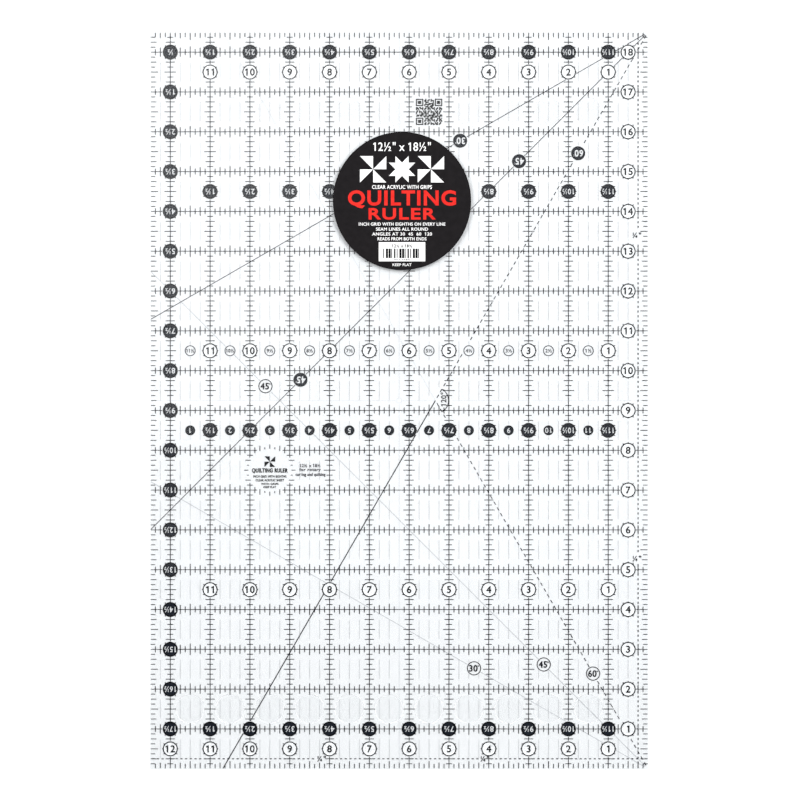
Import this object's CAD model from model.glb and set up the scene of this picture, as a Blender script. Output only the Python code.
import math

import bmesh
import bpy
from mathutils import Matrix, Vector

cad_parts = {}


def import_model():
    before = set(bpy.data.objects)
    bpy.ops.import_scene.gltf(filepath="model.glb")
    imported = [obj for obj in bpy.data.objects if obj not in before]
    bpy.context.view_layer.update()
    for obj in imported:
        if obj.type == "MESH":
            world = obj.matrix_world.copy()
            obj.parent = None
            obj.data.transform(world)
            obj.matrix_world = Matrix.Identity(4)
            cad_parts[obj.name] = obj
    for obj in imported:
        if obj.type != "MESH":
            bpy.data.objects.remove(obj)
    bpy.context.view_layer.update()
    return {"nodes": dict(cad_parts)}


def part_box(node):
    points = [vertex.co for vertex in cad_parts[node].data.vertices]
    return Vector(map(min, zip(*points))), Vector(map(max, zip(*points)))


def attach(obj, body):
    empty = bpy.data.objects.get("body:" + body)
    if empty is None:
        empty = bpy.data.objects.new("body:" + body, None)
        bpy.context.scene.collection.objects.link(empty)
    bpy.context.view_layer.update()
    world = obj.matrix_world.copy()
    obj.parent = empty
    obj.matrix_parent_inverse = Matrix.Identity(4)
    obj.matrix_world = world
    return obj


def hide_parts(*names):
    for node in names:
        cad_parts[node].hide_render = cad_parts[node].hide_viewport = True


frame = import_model()

# Looks of a quilting ruler: a clear acrylic sheet printed on its underside, with grips under it
# and a label on top. The print is drawn flat in millimetres, because Blender's fill loses detail
# finer than 0.03 of a unit, and each finished mesh is scaled to metres. Places that are given in
# inches count in from the right edge and up from the near edge.

MM = 0.001
INCH = 25.4


def box_mm(name):
    """A CAD node's lowest and highest corners, in millimetres."""
    low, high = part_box(name)
    return low / MM, high / MM


SHEET_LOW, SHEET_HIGH = box_mm("acrylic_sheet")
LABEL_LOW, LABEL_HIGH = box_mm("product_label")
LABEL_X, LABEL_Y = (LABEL_LOW.x + LABEL_HIGH.x) / 2, (LABEL_LOW.y + LABEL_HIGH.y) / 2
BENCH = -0.00003  # a hair under the grips, so that no two faces share a plane

# Badges: rings and dots that hold the numbers, with sizes in millimetres
BADGE_RADIUS = 0.188 * INCH
RING_LINE = 0.65
SMALL_RING_RADIUS = 0.135 * INCH
SMALL_RING_LINE = 0.5
SMALL_DOT_RADIUS = 0.125 * INCH
ANGLE_BADGE_RADIUS = 0.176 * INCH
DOT_RIM = 0.85
THIN_RIM = 0.6  # of the small dots and the angle dots
FILL_INSET = 0.1  # a dot's fill stops this far inside the rim's outer edge
DEGREE_RING_RADIUS = 0.5
DEGREE_RING_LINE = 0.25

# Their columns, and the rows that their bands lie on, in inches
RING_COLUMN = 0.5
DOT_COLUMN = 12
RING_BANDS = {"near": 0.5, "lower": 4.5, "middle": 10.5, "far": 17.5}
DOT_BANDS = {"near": 1, "middle": 8.5, "upper": 14.5, "far": 18}
SMALL_RING_BAND = 10.5
SMALL_DOT_BAND = 8.5
ROWS = range(1, 19)
COLUMNS = range(1, 12)
LAST_COLUMN = 12

# Cross ticks on the grid's own lines: half-lengths, by the eighths that divide their place
TICK_WIDTH = 0.46
HALF_TICK = {1: 0.075 * INCH, 2: 0.115 * INCH, 4: 0.145 * INCH}
TICK_GAP = 0.25
STUB_REACH = {0: 0.205 * INCH, 1: 0.176 * INCH}
STUB_OVERLAP = 0.15  # a stub starts this far inside its badge's edge
CENTRE_EIGHTHS = (50, 74)  # across and along: the centre lines, where the grid carries no tick

# Lettering heights, in millimetres
RING_NUMBER = 4.3
DOT_NUMBER = 3.4
SMALL_NUMBER = 2.2
SMALL_DOT_NUMBER = 3.1
ANGLE_NUMBER = 4.0
SEAM_NUMBER = 3.3
ARC_NUMBER = 3.2
DOT_WIDEST = 7.6  # two figures and a half sign are narrowed to this, to stay inside a dot's rim
SMALL_RING_WIDEST = 4.8

# How far the edges of printed figures move out, to make them bolder than the font
WEIGHT = 0.13
ANGLE_DOT_WEIGHT = 1.5 * WEIGHT
ANGLE_RING_WEIGHT = 1.1 * WEIGHT
DOT_WEIGHT = 0.8 * WEIGHT
FINE_WEIGHT = 0.6 * WEIGHT
SMALL_RING_WEIGHT = 0.5 * WEIGHT
FINEST_WEIGHT = 0.4 * WEIGHT

# In an angle badge: the places of the figures' middle and of the degree sign, from the badge's
# centre, and the figures' width, all as shares of the figures' height
ANGLE_FIGURES_PLACE = (-0.12, 0)
DEGREE_PLACE = (0.69, 0.36)
ANGLE_FIGURES_WIDTH = 1.28

# Places in inches: the angle badges' along their lines, and the lettering's on the sheet
ANGLE_BADGES = {
    ("far", 30): (4.72,),
    ("far", 45): (3.24, 8.73),
    ("far", 60): (1.755,),
    ("near", 30): (4.37,),
    ("near", 45): (2.62, 9.61),
    ("near", 60): (1.38,),
}
SEAM_LABELS_NEAR = (4.1, 8.2)
SEAM_LABELS_NEAR_ROW = 0.25
SEAM_LABELS_RIGHT = (5.28, 13.4)
SEAM_LABELS_RIGHT_COLUMN = 0.28
PATCH_PLACE = (9.5, 7.5)
PATCH_SIZE_COLUMN = 8.49

# In millimetres
PATCH_RADIUS = 0.53 * INCH
ARC_RADIUS = 0.33 * INCH
ARC_LABEL_OFFSET = (0.62 * ARC_RADIUS, 0.03 * INCH)  # from where the dashed lines meet


def across(inches):
    return SHEET_HIGH.x - inches * INCH


def along(inches):
    return SHEET_LOW.y + inches * INCH


APEX = Vector((SHEET_HIGH.x - SHEET_HIGH.y / math.tan(math.radians(60)), 0))


def pass_span(name, low=0.0, high=1.0):
    """The heights between which a piece lies, as shares of a CAD node's own thickness."""
    bottom, top = (corner.z for corner in box_mm(name))
    return bottom + (top - bottom) * low, bottom + (top - bottom) * high


# ---------------------------------------------------------------- materials


def node(tree, kind, inputs=None, **settings):
    """A new shader node. Each of its inputs is a number or colour to set, or a socket to link."""
    made = tree.nodes.new(kind)
    for key, value in settings.items():
        setattr(made, key, value)
    for key, value in (inputs or {}).items():
        if isinstance(value, bpy.types.NodeSocket):
            tree.links.new(value, made.inputs[key])
        else:
            made.inputs[key].default_value = value
    return made


def empty_material(name):
    material = bpy.data.materials.new(name)
    material.use_nodes = True
    material.node_tree.nodes.clear()
    return material, material.node_tree


def finish_material(tree, shader):
    node(tree, "ShaderNodeOutputMaterial", {"Surface": shader})


def noise(tree, scale, detail, stretch=(1.0, 1.0, 1.0)):
    """Noise in the ruler's own space. scale is in features per metre."""
    place = node(tree, "ShaderNodeTexCoord").outputs["Object"]
    place = node(tree, "ShaderNodeMapping", {"Vector": place, "Scale": stretch}).outputs[0]
    made = node(tree, "ShaderNodeTexNoise", {"Vector": place, "Scale": scale, "Detail": detail})
    return made.outputs["Fac"]


def ramp(tree, value, stops):
    """A colour ramp between two (position, colour) stops."""
    made = node(tree, "ShaderNodeValToRGB", {"Fac": value})
    for element, (position, colour) in zip(made.color_ramp.elements, stops):
        element.position = position
        element.color = (*colour, 1.0)
    return made.outputs["Color"]


def grey(value):
    return (value, value, value)


def bump(tree, height, strength, depth):
    inputs = {"Height": height, "Strength": strength, "Distance": depth}
    return node(tree, "ShaderNodeBump", inputs).outputs["Normal"]


def leaning(tree, least):
    """1 where a face leans so far that its normal's own Z is less than this, and 0 elsewhere."""
    normal = node(tree, "ShaderNodeNewGeometry").outputs["True Normal"]
    upright = node(tree, "ShaderNodeSeparateXYZ", {"Vector": normal}).outputs["Z"]
    flat = node(tree, "ShaderNodeMath", {0: upright}, operation="ABSOLUTE").outputs[0]
    return node(tree, "ShaderNodeMath", {0: flat, 1: least}, operation="LESS_THAN").outputs[0]


def ink_material(name, thin, thick, grain=700.0):
    """Screen-printed ink: its colour wanders between a thin coat and a thick one, with the fine
    tooth of the screen's mesh."""
    material, tree = empty_material(name)
    coat = noise(tree, grain, 4.0)
    tooth = noise(tree, 6000.0, 2.0)
    colour = ramp(tree, coat, [(0.36, thin), (0.64, thick)])
    shine = ramp(tree, coat, [(0.3, grey(0.55)), (0.7, grey(0.38))])
    surface = node(
        tree,
        "ShaderNodeBsdfPrincipled",
        {
            "Base Color": colour,
            "Roughness": shine,
            "Normal": bump(tree, tooth, 0.25, 0.00002),
            "Specular IOR Level": 0.08,
        },
    )
    finish_material(tree, surface.outputs[0])
    return material


def label_material(name, colours, roughness):
    """Printed, coated label stock with a faint paper fibre and mottled gloss."""
    material, tree = empty_material(name)
    mottle = noise(tree, 260.0, 5.0)
    fibre = noise(tree, 2600.0, 3.0, (1.0, 0.35, 1.0))
    colour = ramp(tree, mottle, [(0.35, colours[0]), (0.65, colours[1])])
    shine = ramp(tree, fibre, [(0.3, grey(roughness - 0.06)), (0.7, grey(roughness + 0.08))])
    surface = node(
        tree,
        "ShaderNodeBsdfPrincipled",
        {
            "Base Color": colour,
            "Roughness": shine,
            "Normal": bump(tree, fibre, 0.12, 0.00003),
            "Specular IOR Level": 0.06,
        },
    )
    finish_material(tree, surface.outputs[0])
    return material


ACRYLIC_IOR = 1.49


def acrylic_material():
    """Clear cast acrylic. Light passes straight through it with a faint blue tint, and its faces
    mirror a little. Its sawn and polished edges hold more of the light, as a pale blue band."""
    material, tree = empty_material("clear_acrylic")
    edge = leaning(tree, 0.9)

    waves = noise(tree, 9.0, 1.0)
    scuffs = noise(tree, 260.0, 6.0, (1.0, 0.06, 1.0))
    shine = ramp(tree, scuffs, [(0.58, grey(0.035)), (0.72, grey(0.11))])
    mirror = node(
        tree,
        "ShaderNodeBsdfGlossy",
        {"Color": (1, 1, 1, 1), "Roughness": shine, "Normal": bump(tree, waves, 0.08, 0.0015)},
    ).outputs[0]
    clear = node(tree, "ShaderNodeBsdfTransparent", {"Color": (0.946, 0.953, 0.958, 1)}).outputs[0]
    fresnel = node(tree, "ShaderNodeFresnel", {"IOR": ACRYLIC_IOR}).outputs[0]
    inside = node(tree, "ShaderNodeNewGeometry").outputs["Backfacing"]
    outside = node(tree, "ShaderNodeMath", {0: 1.0, 1: inside}, operation="SUBTRACT").outputs[0]
    share = node(tree, "ShaderNodeMath", {0: fresnel, 1: outside}, operation="MULTIPLY").outputs[0]
    face = node(tree, "ShaderNodeMixShader", {0: share, 1: clear, 2: mirror}).outputs[0]

    saw = noise(tree, 900.0, 4.0, (1.0, 1.0, 0.12))
    tone = ramp(tree, saw, [(0.35, (0.7, 0.78, 0.82)), (0.65, (0.84, 0.9, 0.93))])
    polish = node(
        tree,
        "ShaderNodeBsdfPrincipled",
        {
            "Base Color": tone,
            "Roughness": 0.22,
            "IOR": ACRYLIC_IOR,
            "Normal": bump(tree, saw, 0.3, 0.00005),
        },
    ).outputs[0]
    through = node(tree, "ShaderNodeBsdfTransparent", {"Color": (0.975, 0.985, 0.99, 1)}).outputs[0]
    rim = node(tree, "ShaderNodeMixShader", {0: 0.09, 1: through, 2: polish}).outputs[0]
    finish_material(tree, node(tree, "ShaderNodeMixShader", {0: edge, 1: face, 2: rim}).outputs[0])
    return material


def grip_material(name, haze, rim_haze):
    """Soft clear rubber with a moulded tooth. A milky haze wanders through it, and fills its
    sloping rim."""
    material, tree = empty_material(name)
    cloud = noise(tree, 700.0, 5.0, (1.0, 0.35, 1.0))
    tooth = noise(tree, 3200.0, 2.0)
    milk = node(
        tree,
        "ShaderNodeBsdfPrincipled",
        {
            "Base Color": ramp(tree, cloud, [(0.3, grey(0.93)), (0.7, grey(0.98))]),
            "Roughness": 0.42,
            "Normal": bump(tree, tooth, 0.5, 0.00008),
        },
    ).outputs[0]
    clear = node(tree, "ShaderNodeBsdfTransparent", {"Color": (0.996, 0.997, 0.998, 1)}).outputs[0]
    share = ramp(tree, cloud, [(0.52, grey(haze / 4)), (0.62, grey(haze))])
    share = node(tree, "ShaderNodeSeparateColor", {"Color": share}).outputs[0]
    rim = leaning(tree, 0.98)
    share = node(tree, "ShaderNodeMix", {0: rim, 2: share, 3: rim_haze}).outputs[0]
    surface = node(tree, "ShaderNodeMixShader", {0: share, 1: clear, 2: milk})
    finish_material(tree, surface.outputs[0])
    return material


# Inks: the thin coat's colour, the thick coat's, and the grain in features per metre if not 700
INKS = {
    "black": ((0.002, 0.002, 0.003), (0.0006, 0.0006, 0.001)),
    "line": ((0.01, 0.009, 0.016), (0.002, 0.002, 0.004), 1500.0),
    "slate": ((0.0085, 0.0115, 0.0185), (0.0045, 0.0062, 0.0105), 900.0),
    "grey": ((0.07, 0.07, 0.08), (0.04, 0.04, 0.048)),
    "faint": ((0.46, 0.47, 0.49), (0.36, 0.37, 0.39)),
    "pale": ((0.6, 0.6, 0.61), (0.5, 0.5, 0.51)),
    "palest": ((0.74, 0.75, 0.77), (0.64, 0.65, 0.67)),
}
# The label's stock and its prints: two colours that mottle together, and the roughness
LABEL_STOCKS = {
    "label_black": (((0.0075, 0.0062, 0.0072), (0.005, 0.004, 0.0048)), 0.4),
    "label_white": (((0.8, 0.8, 0.8), (0.9, 0.9, 0.9)), 0.45),
    "label_red": (((0.58, 0.014, 0.011), (0.7, 0.026, 0.018)), 0.42),
}
MATERIALS = {
    "acrylic": acrylic_material(),
    "pad": grip_material("grip_pad", 0.025, 0.4),
    "ring_grip": grip_material("ring_grip", 0.75, 0.75),
}
for key, coats in INKS.items():
    MATERIALS[key] = ink_material(key + "_ink", *coats)
for key, stock in LABEL_STOCKS.items():
    MATERIALS[key] = label_material(key, *stock)


# ---------------------------------------------------------------- flat drawing

# A contour is a closed line of (point, left handle, right handle, handle type), in millimetres.


def circle(x, y, radius):
    """A circle as eight Bezier points."""
    count = 8
    pull = radius * 4 / 3 * math.tan(math.pi / 2 / count)
    contour = []
    for k in range(count):
        angle = 2 * math.pi * k / count
        out = Vector((math.cos(angle), math.sin(angle)))
        side = Vector((-out.y, out.x)) * pull
        point = Vector((x, y)) + out * radius
        contour.append((point, point - side, point + side, "FREE"))
    return contour


def polygon(points):
    return [(Vector(point), Vector(point), Vector(point), "VECTOR") for point in points]


def ring(x, y, radius, line):
    return [circle(x, y, radius), circle(x, y, radius - line)]


DIGIT_HEIGHT = 0.69  # of the font's size
ONE_HEIGHT = 0.682
CURVE_STEPS = 5  # runs to each bent piece of a figure's outline
SHORTEST_RUN = 0.03  # in millimetres
STRAIGHT = 0.004  # how far a run may bow, as a share of its length, and still be drawn straight
SHARPEST = 0.45  # keeps a moved corner from shooting out where two runs nearly fold back
FLAG_REACH = 0.125  # of the figure one, to the left of its bar
FLAG_TOP, FLAG_BOTTOM, FLAG_ROOT = 0.085, 0.185, 0.12  # down from its top
FLAG_JOIN = 0.03
CURVE_FINENESS = 5  # runs to each piece of a drawn circle
WELD = 0.0005  # points nearer than this, in millimetres, become one
glyph_counts = {}


def text_splines(body):
    """The outlines of a line of text at size 1, as contours."""
    curve = bpy.data.curves.new("lettering", "FONT")
    curve.body = body
    holder = bpy.data.objects.new("lettering", curve)
    bpy.context.scene.collection.objects.link(holder)
    outline = holder.to_curve(bpy.context.evaluated_depsgraph_get())
    contours = [
        [
            (p.co.to_2d(), p.handle_left.to_2d(), p.handle_right.to_2d(), "FREE")
            for p in spline.bezier_points
        ]
        for spline in outline.splines
    ]
    holder.to_curve_clear()
    bpy.data.objects.remove(holder)
    bpy.data.curves.remove(curve)
    return contours


def splines_in(letter):
    if letter not in glyph_counts:
        glyph_counts[letter] = len(text_splines(letter))
    return glyph_counts[letter]


def flagged_one(bar):
    """The font's figure one is a plain bar, so it gets the flag that the printed numbers have."""
    left = min(point[0].x for point in bar)
    right = max(point[0].x for point in bar)
    flag = left - FLAG_REACH
    return polygon(
        [
            (right, 0),
            (right, ONE_HEIGHT),
            (left + FLAG_JOIN, ONE_HEIGHT),
            (flag, ONE_HEIGHT - FLAG_TOP),
            (flag, ONE_HEIGHT - FLAG_BOTTOM),
            (left, ONE_HEIGHT - FLAG_ROOT),
            (left, 0),
        ]
    )


def straightened(contour):
    """A contour as a list of points: its corners, and enough on its curves to look round."""
    points = []
    for start, end in zip(contour, contour[1:] + contour[:1]):
        a, b, c, d = start[0], start[2], end[1], end[0]
        bend = abs((b - a).cross(d - a)) + abs((c - a).cross(d - a))
        steps = CURVE_STEPS if bend > STRAIGHT * (d - a).length_squared else 1
        for k in range(steps):
            t = k / steps
            u = 1 - t
            points.append(a * u**3 + b * 3 * t * u**2 + c * 3 * t**2 * u + d * t**3)
    return [p for p, q in zip(points, points[1:] + points[:1]) if (q - p).length > SHORTEST_RUN]


def signed_area(points):
    return sum(p.x * q.y - q.x * p.y for p, q in zip(points, points[1:] + points[:1])) / 2


def bolder(letter, weight):
    """A letter's outlines, with every edge moved out of the ink by this much."""
    outlines = [straightened(contour) for contour in letter]
    out = math.copysign(weight, sum(signed_area(points) for points in outlines))
    moved = []
    for points in outlines:
        shifted = []
        for before, at, after in zip(points[-1:] + points[:-1], points, points[1:] + points[:1]):
            along_in, along_out = (at - before).normalized(), (after - at).normalized()
            both = along_in + along_out
            share = max(1 + along_in.dot(along_out), SHARPEST)
            shifted.append(at + Vector((both.y, -both.x)) * out / share)
        moved.append(polygon(shifted))
    return moved


def extent(contours):
    points = [point[0] for contour in contours for point in contour]
    xs, ys = [p.x for p in points], [p.y for p in points]
    return Vector((min(xs), min(ys))), Vector((max(xs), max(ys)))


def lettering(body, x, y, height, weight, width=None, turn=0):
    """A line of text centred on x, y, with figures this high, turned by so many degrees.
    A width, where there is one, narrows or widens the line to fit it."""
    found = text_splines(body)
    scale = height / DIGIT_HEIGHT
    letters = []
    for k, letter in enumerate(body):
        count = splines_in(letter)
        own, found = found[:count], found[count:]
        if not own:
            continue
        own = [flagged_one(own[0])] if letter == "1" else own
        aside = Vector((2 * weight * k, 0))
        own = [[(*(v * scale + aside for v in point[:3]), point[3]) for point in c] for c in own]
        letters.append(own)
    low, high = extent([contour for letter in letters for contour in letter])
    squeeze = width / (high.x - low.x) if width else 1.0
    middle = (low + high) / 2
    place = Matrix.Rotation(math.radians(turn), 2) @ Matrix(((squeeze, 0), (0, 1)))
    contours = []
    for letter in letters:
        moved = [
            [(*(Vector((x, y)) + place @ (v - middle) for v in point[:3]), point[3]) for point in c]
            for c in letter
        ]
        contours += bolder(moved, weight)
    return contours


def add_piece(name, mesh, material):
    """A finished mesh in metres becomes a piece that rides on the ruler."""
    piece = bpy.data.objects.new(name, mesh)
    bpy.context.scene.collection.objects.link(piece)
    mesh.materials.append(MATERIALS[material])
    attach(piece, "root")
    return piece


def filled(name, contours, span, material):
    """A flat printed piece. Contours inside others are holes, and those inside holes are filled."""
    curve = bpy.data.curves.new(name, "CURVE")
    curve.dimensions = "2D"
    curve.fill_mode = "BOTH"
    curve.extrude = (span[1] - span[0]) / 2
    curve.resolution_u = CURVE_FINENESS
    for contour in contours:
        if all(point[3] == "VECTOR" for point in contour):
            spline = curve.splines.new("POLY")
            spline.points.add(len(contour) - 1)
            spline.use_cyclic_u = True
            for point, corner in zip(spline.points, contour):
                point.co = (*corner[0], 0, 1)
            continue
        spline = curve.splines.new("BEZIER")
        spline.bezier_points.add(len(contour) - 1)
        spline.use_cyclic_u = True
        for point, (co, left, right, kind) in zip(spline.bezier_points, contour):
            point.handle_left_type = point.handle_right_type = kind
            point.co = co.to_3d()
            point.handle_left, point.handle_right = left.to_3d(), right.to_3d()
    holder = bpy.data.objects.new(name + "_outline", curve)
    bpy.context.scene.collection.objects.link(holder)
    drawn = holder.evaluated_get(bpy.context.evaluated_depsgraph_get())
    mesh = bpy.data.meshes.new_from_object(drawn)
    bpy.data.objects.remove(holder)
    bpy.data.curves.remove(curve)
    mesh.name = name
    mesh.materials.clear()
    work = bmesh.new()
    work.from_mesh(mesh)
    bmesh.ops.remove_doubles(work, verts=work.verts, dist=WELD)
    bmesh.ops.recalc_face_normals(work, faces=work.faces)
    work.transform(Matrix.Scale(MM, 4) @ Matrix.Translation((0, 0, (span[0] + span[1]) / 2)))
    work.to_mesh(mesh)
    work.free()
    return add_piece(name, mesh, material)


def bars(name, strokes, span, material):
    """Straight printed strokes, each (start, end, width), as flat solids in one piece."""
    work = bmesh.new()
    for start, end, width in strokes:
        start, end = Vector(start), Vector(end)
        side = (end - start).orthogonal().normalized() * width / 2
        corners = [start + side, start - side, end - side, end + side]
        low, high = (
            [work.verts.new((c.x * MM, c.y * MM, z * MM)) for c in corners] for z in span
        )
        work.faces.new(low[::-1])
        work.faces.new(high)
        for k in range(4):
            work.faces.new((low[k], low[(k + 1) % 4], high[(k + 1) % 4], high[k]))
    bmesh.ops.recalc_face_normals(work, faces=work.faces)
    mesh = bpy.data.meshes.new(name)
    work.to_mesh(mesh)
    work.free()
    return add_piece(name, mesh, material)


# ---------------------------------------------------------------- places


def angle_place(side, degrees, inches):
    """The point of an angle line this many inches in from the right edge."""
    drop = inches * INCH * math.tan(math.radians(degrees))
    return across(inches), (SHEET_HIGH.y - drop) * (1 if side == "far" else -1)


ring_places = {"right": [(across(RING_COLUMN), along(n), n) for n in ROWS]}
for band, height in RING_BANDS.items():
    ring_places[band] = [(across(n), along(height), n) for n in COLUMNS]
ring_places["near"].append((across(LAST_COLUMN), along(RING_BANDS["near"]), LAST_COLUMN))

# The dots count half inches from the left and far edges, for a ruler turned end for end.
dot_places = {"left": [(across(DOT_COLUMN), along(n), 18 - n) for n in ROWS]}
for band, height in DOT_BANDS.items():
    dot_places[band] = [(across(n), along(height), 12 - n) for n in COLUMNS]

small_ring_places = [(across(n + 0.5), along(SMALL_RING_BAND), n) for n in COLUMNS]
small_dot_places = [(across(n + 0.5), along(SMALL_DOT_BAND), 12 - n) for n in COLUMNS]
angle_places = {
    side: [
        (*angle_place(end, degrees, inches), degrees)
        for (end, degrees), places in ANGLE_BADGES.items()
        if end == side
        for inches in places
    ]
    for side in ("far", "near")
}


def all_badges():
    """Every round place where ticks stop: x, y and radius."""
    groups = list(ring_places.values()) + list(dot_places.values())
    badges = [(x, y, BADGE_RADIUS) for places in groups for x, y, _ in places]
    for places in angle_places.values():
        badges += [(x, y, ANGLE_BADGE_RADIUS) for x, y, _ in places]
    badges.append((across(PATCH_PLACE[0]), along(PATCH_PLACE[1]), PATCH_RADIUS))
    return badges


BADGES = all_badges()


def stretches(start, end, badges):
    """The parts of a straight line that lie outside every badge."""
    start, end = Vector(start), Vector(end)
    length = (end - start).length
    way = (end - start) / length
    covered = []
    for x, y, radius in badges:
        off = Vector((x, y)) - start
        middle, aside = off.dot(way), off.x * way.y - off.y * way.x
        reach = radius + TICK_GAP
        if abs(aside) < reach:
            half = math.sqrt(reach**2 - aside**2)
            covered.append((middle - half, middle + half))
    found, at = [], 0.0
    for low, high in sorted(covered) + [(length, length)]:
        if min(low, length) - at > TICK_WIDTH:
            found.append((start + way * at, start + way * min(low, length)))
        at = max(at, high)
    return found


def half_tick(eighths):
    """Half the length of the tick at this many eighths. Whole inches have none."""
    for step in (8, 4, 2, 1):
        if eighths % step == 0:
            return HALF_TICK.get(step, 0)


def ticks(way):
    """The cross ticks at every eighth inch of the rows, or of the columns."""
    on_rows = way == "rows"
    lines = ROWS if on_rows else range(1, LAST_COLUMN + 1)
    span = (SHEET_HIGH.x if on_rows else SHEET_HIGH.y) * 2 / INCH
    strokes = []
    for n in lines:
        for k in range(1, round(8 * span)):
            half = half_tick(k)
            if not half or k == CENTRE_EIGHTHS[0 if on_rows else 1]:
                continue
            x, y = (across(k / 8), along(n)) if on_rows else (across(n), along(k / 8))
            reach = Vector((0, half)) if on_rows else Vector((half, 0))
            near = [b for b in BADGES if abs(b[0] - x) + abs(b[1] - y) < 2 * b[2] + 2 * half]
            ends = Vector((x, y)) - reach, Vector((x, y)) + reach
            strokes += [(p, q, TICK_WIDTH) for p, q in stretches(*ends, near)]
    return strokes


def stubs():
    """Short marks where the ticks behind a badge look out past its edge."""
    strokes = []
    for group, upright in ((ring_places, "right"), (dot_places, "left")):
        for band, places in group.items():
            for x, y, _ in places:
                for step in (-1, 0, 1):
                    aside = step * INCH / 8
                    near = math.sqrt(BADGE_RADIUS**2 - aside**2) - STUB_OVERLAP
                    far = STUB_REACH[abs(step)]
                    for sign in (-1, 1):
                        ends = [(sign * r, aside) for r in (near, far)]
                        if band == upright:
                            ends = [(b, a) for a, b in ends]
                        p, q = ((x + dx, y + dy) for dx, dy in ends)
                        strokes.append((p, q, TICK_WIDTH))
    return strokes


# ---------------------------------------------------------------- the print

# Badges and figures lie in the upper part of the rows' pass, and ticks and fills in the lower
LOWER_SHARES = (0.04, 0.46)
UPPER = pass_span("row_lines", 0.5, 0.98)
LOWER = pass_span("row_lines", *LOWER_SHARES)
HALF_SIGN = "½"
QUARTER_SIGN = "¼"
DEGREE_SIGN = "°"
SHEET_SIZE = f"12{HALF_SIGN} x 18{HALF_SIGN}"


def half_number(count):
    return HALF_SIGN if count == 0 else f"{count}{HALF_SIGN}"


def number_rings():
    for band, places in ring_places.items():
        contours = []
        for x, y, count in places:
            contours += ring(x, y, BADGE_RADIUS, RING_LINE)
            contours += lettering(str(count), x, y, RING_NUMBER, WEIGHT)
        piece = filled("inch_ring_print_" + band, contours, UPPER, "black")
        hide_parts("inch_rings_" + band)


def small_number_rings():
    contours = []
    for x, y, count in small_ring_places:
        contours += ring(x, y, SMALL_RING_RADIUS, SMALL_RING_LINE)
        width = SMALL_RING_WIDEST if count >= 10 else None
        contours += lettering(half_number(count), x, y, SMALL_NUMBER, SMALL_RING_WEIGHT, width)
    piece = filled("small_ring_print", contours, UPPER, "grey")
    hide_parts("small_rings")


def dot_print(name, places, radius, figures, node_name, rim):
    """Dark dots with their numbers left clear, and a blacker rim round each."""
    fills, rims = [], []
    for x, y, count in places:
        fills.append(circle(x, y, radius - FILL_INSET))
        fills += figures(count, x, y)
        rims += ring(x, y, radius, rim)
    fill = filled(name + "_fills", fills, LOWER, "slate")
    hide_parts(node_name)
    filled(name + "_rims", rims, UPPER, "black")


def half_figures(count, x, y):
    width = DOT_WIDEST if count >= 10 else None
    return lettering(half_number(count), x, y, DOT_NUMBER, DOT_WEIGHT, width, 180)


def small_figures(count, x, y):
    return lettering(str(count), x, y, SMALL_DOT_NUMBER, DOT_WEIGHT, turn=180)


def angle_figures(degrees, x, y, turn=180, weight=ANGLE_DOT_WEIGHT):
    """Two figures side by side, and a small raised ring after them for the degree sign."""
    turned = Matrix.Rotation(math.radians(turn), 2)
    middle = Vector((x, y)) + turned @ Vector(ANGLE_FIGURES_PLACE) * ANGLE_NUMBER
    sign = Vector((x, y)) + turned @ Vector(DEGREE_PLACE) * ANGLE_NUMBER
    width = ANGLE_FIGURES_WIDTH * ANGLE_NUMBER
    figures = lettering(str(degrees), middle.x, middle.y, ANGLE_NUMBER, weight, width, turn)
    return figures + ring(sign.x, sign.y, DEGREE_RING_RADIUS, DEGREE_RING_LINE)


def number_dots():
    for band, places in dot_places.items():
        name, node_name = "half_inch_dot_" + band, "half_inch_dots_" + band
        dot_print(name, places, BADGE_RADIUS, half_figures, node_name, DOT_RIM)
    dot_print(
        "small_dot", small_dot_places, SMALL_DOT_RADIUS, small_figures, "small_dots", THIN_RIM
    )


def angle_badges():
    places = angle_places["far"]
    dot_print("angle_dot", places, ANGLE_BADGE_RADIUS, angle_figures, "angle_dots_far", THIN_RIM)
    contours = []
    for x, y, degrees in angle_places["near"]:
        contours += ring(x, y, ANGLE_BADGE_RADIUS, SMALL_RING_LINE)
        contours += angle_figures(degrees, x, y, 0, ANGLE_RING_WEIGHT)
    piece = filled("angle_ring_print", contours, UPPER, "line")
    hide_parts("angle_rings_near")


def line_lettering():
    """The quarter-inch signs on the seam lines, and the angle between the dashed lines."""
    places = [(across(inches), along(SEAM_LABELS_NEAR_ROW)) for inches in SEAM_LABELS_NEAR]
    places += [(across(SEAM_LABELS_RIGHT_COLUMN), along(inches)) for inches in SEAM_LABELS_RIGHT]
    contours = []
    for x, y in places:
        contours += lettering(QUARTER_SIGN + '"', x, y, SEAM_NUMBER, FINE_WEIGHT)
    x, y = APEX + Vector(ARC_LABEL_OFFSET)
    contours += lettering("120" + DEGREE_SIGN, x, y, ARC_NUMBER, FINE_WEIGHT, turn=90)
    filled("line_lettering", contours, UPPER, "line")


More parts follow.
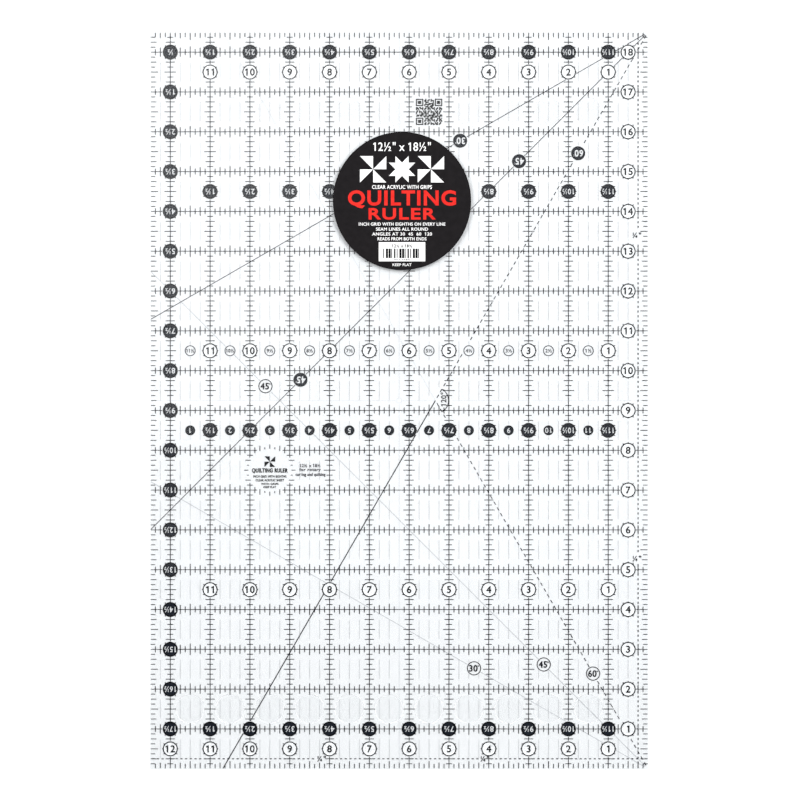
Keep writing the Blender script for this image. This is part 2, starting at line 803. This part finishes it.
# Rows of words in millimetres: the place of each row's middle from its block's, its height, its
# width, its weight and the words
PATCH_ROWS = (
    (0, -0.4, 2.5, 22.5, WEIGHT, "QUILTING RULER"),
    (0, -4.0, 1.4, 21.0, FINEST_WEIGHT, "INCH GRID WITH EIGHTHS"),
    (0, -6.4, 1.4, 18.0, FINEST_WEIGHT, "CLEAR ACRYLIC SHEET"),
    (0, -8.8, 1.2, 11.0, FINEST_WEIGHT, "WITH GRIPS"),
    (0, -10.8, 1.2, 8.0, FINEST_WEIGHT, "KEEP FLAT"),
)
PATCH_SIZE_ROWS = (
    (0, 2.9, 2.0, 13.0, FINE_WEIGHT, SHEET_SIZE),
    (0, 0.1, 1.9, 13.5, FINE_WEIGHT, "for rotary"),
    (0.3, -3.0, 1.9, 19.0, FINE_WEIGHT, "cutting and quilting"),
)


def rows_of_words(rows, x, y):
    """A block of lettering whose own middle is at x, y."""
    contours = []
    for aside, rise, height, width, weight, words in rows:
        contours += lettering(words, x + aside, y + rise, height, weight, width)
    return contours


def patch_lettering():
    """Plain words where a maker's details would be, under the patchwork block and beside it."""
    x, y = across(PATCH_PLACE[0]), along(PATCH_PLACE[1])
    filled("patch_lettering", rows_of_words(PATCH_ROWS, x, y), UPPER, "black")
    sized = rows_of_words(PATCH_SIZE_ROWS, across(PATCH_SIZE_COLUMN), y)
    filled("size_lettering", sized, UPPER, "grey")


number_rings()
small_number_rings()
number_dots()
angle_badges()
line_lettering()
patch_lettering()
bars("row_ticks", ticks("rows"), LOWER, "line")
column_span = pass_span("column_lines", *LOWER_SHARES)
bars("column_ticks", ticks("columns"), column_span, "line")
bars("badge_stubs", stubs(), LOWER, "line")


# ---------------------------------------------------------------- the grips


RIM_SLOPE = 0.7  # the sloping rim's width, in millimetres
SHOULDER = 0.85  # where the slope ends, as a share of a grip's thickness
DOME_FADE = 0.18  # the domes fade out towards the rim over this share of the radius
DOME_PITCH = 2.4  # radians of the domes' waves to each millimetre
DOME_SKEW = (0.5, 0.866)  # the second wave's direction, 60 degrees from the first
PAD_MOULDING = (22, 72, 0.09)  # rings of points, spokes of points, and the domes' height
RING_GRIP_MOULDING = (9, 32, 0.05)
GRIP_GAP = 0.05  # between a small grip and the printed ring round it
RING_GRIP_TOP = 0.995  # keeps its top just clear of the sheet


def moulded_disc(work, x, y, radius, span, moulding):
    """A round grip with a rounded rim, a flat top, and small domes moulded on its underside."""
    rings, spokes, ridge = moulding
    bottom, top = span
    brim = radius - RIM_SLOPE

    def ring_of(r, z_of):
        made = []
        for k in range(spokes):
            angle = 2 * math.pi * k / spokes
            dx, dy = r * math.cos(angle), r * math.sin(angle)
            made.append(work.verts.new(((x + dx) * MM, (y + dy) * MM, z_of(dx, dy) * MM)))
        return made

    def dome(dx, dy):
        fade = max(0.0, min(1.0, (brim - math.hypot(dx, dy)) / (DOME_FADE * radius)))
        skewed = dx * DOME_SKEW[0] + dy * DOME_SKEW[1]
        wave = math.cos(dx * DOME_PITCH) * math.cos(skewed * DOME_PITCH)
        return bottom + ridge * (0.5 + 0.5 * wave) * fade

    outlines = [ring_of(brim * k / rings, dome) for k in range(1, rings + 1)]
    outlines.append(ring_of(radius, lambda dx, dy: bottom + SHOULDER * (top - bottom)))
    outlines.append(ring_of(radius, lambda dx, dy: top))
    centre = work.verts.new((x * MM, y * MM, dome(0, 0) * MM))
    for k in range(spokes):
        work.faces.new((centre, outlines[0][(k + 1) % spokes], outlines[0][k]))
    for inner, outer in zip(outlines, outlines[1:]):
        for k in range(spokes):
            n = (k + 1) % spokes
            work.faces.new((inner[k], inner[n], outer[n], outer[k]))
    work.faces.new(outlines[-1])


def grips(name, places, radius, span, material, node_name, moulding):
    """Moulded grips at these places, in one piece that stands for a CAD node."""
    work = bmesh.new()
    for x, y in places:
        moulded_disc(work, x, y, radius, span, moulding)
    bmesh.ops.recalc_face_normals(work, faces=work.faces)
    mesh = bpy.data.meshes.new(name)
    work.to_mesh(mesh)
    work.free()
    smooth = [len(polygon.vertices) <= 4 for polygon in mesh.polygons]  # all but the flat tops
    mesh.polygons.foreach_set("use_smooth", smooth)
    piece = add_piece(name, mesh, material)
    # The rubber is clear, so it leaves the bench under it bright.
    piece.visible_shadow = piece.visible_diffuse = False
    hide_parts(node_name)


def pad_places(node_name):
    """The middles of a CAD node's pads. There is at most one pad between two inch columns."""
    mesh = frame["nodes"][node_name].data
    cells = {}
    for v in mesh.vertices:
        cell = round((SHEET_HIGH.x - v.co.x / MM) / INCH - 0.5)
        cells.setdefault(cell, []).append(v.co / MM)
    return [
        (
            (min(p.x for p in points) + max(p.x for p in points)) / 2,
            (min(p.y for p in points) + max(p.y for p in points)) / 2,
        )
        for _, points in sorted(cells.items())
    ]


PAD_RADIUS = (box_mm("grip_pads_near")[1].y - box_mm("grip_pads_near")[0].y) / 2
for side in ("near", "far"):
    pad_node = "grip_pads_" + side
    places, span = pad_places(pad_node), pass_span(pad_node)
    grips("grip_pad_" + side, places, PAD_RADIUS, span, "pad", pad_node, PAD_MOULDING)
grips(
    "ring_grip_moulding",
    [(x, y) for places in ring_places.values() for x, y, _ in places],
    BADGE_RADIUS - RING_LINE - GRIP_GAP,
    pass_span("ring_grips", 0.0, RING_GRIP_TOP),
    "ring_grip",
    "ring_grips",
    RING_GRIP_MOULDING,
)


# ---------------------------------------------------------------- the label


LABEL_PRINT_SHARES = (0.05, 0.95)

# Rows of words on the label, in millimetres: each row's place above the label's centre, its height
# and its width, then its weight as a share of its height, and the words
LABEL_WHITE_ROWS = (
    (34.6, 5.3, 36.5, 0.012, f'12{HALF_SIGN}" x 18{HALF_SIGN}"'),
    (8.9, 2.3, 38.0, 0.024, "CLEAR ACRYLIC WITH GRIPS"),
    (-14.7, 1.9, 55.0, 0.024, "INCH GRID WITH EIGHTHS ON EVERY LINE"),
    (-17.9, 1.9, 33.0, 0.024, "SEAM LINES ALL ROUND"),
    (-21.0, 1.9, 38.0, 0.024, "ANGLES AT 30  45  60  120"),
    (-24.1, 1.9, 31.0, 0.024, "READS FROM BOTH ENDS"),
    (-40.6, 1.6, 12.0, 0.024, "KEEP FLAT"),
)
LABEL_RED_ROWS = (
    (1.1, 8.9, 68.0, 0.045, "QUILTING"),
    (-8.2, 6.8, 42.0, 0.045, "RULER"),
)
# On the barcode panel: each row's place as a share of the panel's height, then its own height,
# width and weight in millimetres
PANEL_ROWS = (
    (0.8, 1.9, 12.6, 0.09, SHEET_SIZE),
    (0.085, 0.9, 10.0, 0.05, "INCHES"),
)


def label_words(rows):
    contours = []
    for rise, height, width, bold, words in rows:
        contours += lettering(words, LABEL_X, LABEL_Y + rise, height, bold * height, width)
    return contours


def label_lettering():
    span = pass_span("label_quilt_blocks", *LABEL_PRINT_SHARES)
    white, red = label_words(LABEL_WHITE_ROWS), label_words(LABEL_RED_ROWS)
    filled("label_white_lettering", white, span, "label_white")
    filled("label_red_lettering", red, span, "label_red")
    low, high = box_mm("label_barcode_panel")
    black = []
    for rise, height, width, weight, words in PANEL_ROWS:
        y = low.y + rise * (high.y - low.y)
        black += lettering(words, (low.x + high.x) / 2, y, height, weight, width)
    filled("label_black_lettering", black, pass_span("label_barcode_bars"), "black")


label_lettering()


# ---------------------------------------------------------------- finishes on the CAD nodes

FINISHES = {
    "acrylic": ["acrylic_sheet"],
    "line": [
        "row_lines",
        "column_lines",
        "edge_graduations_left",
        "edge_graduations_right",
        "edge_graduations_near",
        "edge_graduations_far",
        "seam_line_near",
        "seam_line_right",
        "angle_line_30_far",
        "angle_line_45_far",
        "angle_line_60_far",
        "angle_line_60_near",
        "angle_line_past_apex_far",
        "angle_mark_120",
    ],
    "black": ["code_block", "maker_patch", "label_barcode_bars"],
    "faint": ["angle_line_30_near", "angle_line_45_near"],
    "pale": ["quarter_guides"],
    "palest": ["centre_lines", "angle_line_past_apex_near"],
    "label_black": ["product_label"],
    "label_white": ["label_quilt_blocks", "label_barcode_panel"],
}
for finish, names in FINISHES.items():
    for name in names:
        for material_slot in frame["nodes"][name].material_slots:
            material_slot.link = "OBJECT"
            material_slot.material = MATERIALS[finish]


# ---------------------------------------------------------------- the studio


# Overhead panels that the sheet mirrors: left, right and near sides in metres, and radiance. The
# haze that they lay on the print fades towards the near edge and the right, as in the photo. Each
# hangs a little above the one before it, because a mirrored ray sees only one of two lights at
# the same height.
PANELS = (
    (-0.9, 0.9, -0.24, 0.42),
    (-0.9, -0.12, -0.05, 0.54),
    (-0.9, 0.16, 0.12, 0.34),
    (-0.9, 0.9, 0.25, 0.22),
)
PANEL_FAR_SIDE = 1.3
PANEL_HEIGHT = 1.7
PANEL_STEP = 0.02

# Side panels: name, place across, and power. They hang beyond the far edge, aimed straight across.
SIDE_PANELS = (("left_panel", -0.8, 11.0), ("right_panel", 0.8, 20.0))
SIDE_PANEL_Y, SIDE_PANEL_HEIGHT = 0.45, 1.6
SIDE_PANEL_SIZE = (1.6, 0.6)

# Suns: very soft light from far away, which keeps the whole floor pale
SUNS = {"left_sun": (-2, 0.7, 3), "right_sun": (2, 0.7, 3)}
SUN_STRENGTH = 1.0
SUN_ANGLE = math.radians(40)

# The world's grey, by how far a direction points up: a pale horizon under a dark ceiling, so that
# the sheet mirrors little of it from above
HORIZON = (0.2, 0.6)
CEILING = (0.7, 0.03)

FLOOR_HALF = 4.0
FLOOR_TONES = (0.79, 0.81)
CAMERA_PLACE = (0.0005, 0.0003, 1.5)
CAMERA_VIEW = 0.5105  # how much of the print it takes in each way
SENSOR = 36.0


def floor():
    material, tree = empty_material("studio_floor")
    dark, light = (grey(tone) for tone in FLOOR_TONES)
    tone = ramp(tree, noise(tree, 5.0, 2.0), [(0.3, dark), (0.7, light)])
    surface = node(tree, "ShaderNodeBsdfDiffuse", {"Color": tone})
    finish_material(tree, surface.outputs[0])
    mesh = bpy.data.meshes.new("studio_floor")
    corners = [(x * FLOOR_HALF, y * FLOOR_HALF, 0) for x, y in ((-1, -1), (1, -1), (1, 1), (-1, 1))]
    mesh.from_pydata(corners, [], [(0, 1, 2, 3)])
    mesh.materials.append(material)
    made = bpy.data.objects.new("studio_floor", mesh)
    made.location.z = BENCH
    bpy.context.scene.collection.objects.link(made)


def hang(name, light, place, target):
    """A light at this place, aimed at the target."""
    made = bpy.data.objects.new(name, light)
    made.location = place
    made.rotation_euler = (Vector(target) - Vector(place)).to_track_quat("-Z", "Y").to_euler()
    bpy.context.scene.collection.objects.link(made)


def area_light(name, place, size, power, target):
    light = bpy.data.lights.new(name, "AREA")
    light.shape = "RECTANGLE"
    light.size, light.size_y = size
    light.energy = power
    hang(name, light, place, target)


def sun(name, place):
    light = bpy.data.lights.new(name, "SUN")
    light.angle = SUN_ANGLE
    light.energy = SUN_STRENGTH
    hang(name, light, place, (0, 0, 0))


def camera():
    """Straight above the ruler, with the far edge up."""
    lens = bpy.data.cameras.new("camera")
    lens.sensor_width = SENSOR
    lens.lens = SENSOR * CAMERA_PLACE[2] / CAMERA_VIEW
    made = bpy.data.objects.new("camera", lens)
    made.location = CAMERA_PLACE
    bpy.context.scene.collection.objects.link(made)
    bpy.context.scene.camera = made


def world():
    made = bpy.data.worlds.new("studio")
    made.use_nodes = True
    tree = made.node_tree
    direction = node(tree, "ShaderNodeTexCoord").outputs["Generated"]
    rise = node(tree, "ShaderNodeSeparateXYZ", {"Vector": direction}).outputs["Z"]
    tone = ramp(tree, rise, [(place, grey(value)) for place, value in (HORIZON, CEILING)])
    tree.links.new(tone, tree.nodes["Background"].inputs["Color"])
    bpy.context.scene.world = made


floor()
world()
for step, (left, right, near_side, radiance) in enumerate(PANELS):
    width, length = right - left, PANEL_FAR_SIDE - near_side
    x, y = (left + right) / 2, (near_side + PANEL_FAR_SIDE) / 2
    place = (x, y, PANEL_HEIGHT + step * PANEL_STEP)
    power = 4 * radiance * width * length
    area_light(f"overhead_panel_{step}", place, (width, length), power, (x, y, 0))
for name, x, power in SIDE_PANELS:
    place, target = (x, SIDE_PANEL_Y, SIDE_PANEL_HEIGHT), (0, SIDE_PANEL_Y, 0)
    area_light(name, place, SIDE_PANEL_SIZE, power, target)
for name, place in SUNS.items():
    sun(name, place)
camera()
bpy.context.scene.view_settings.view_transform = "Standard"
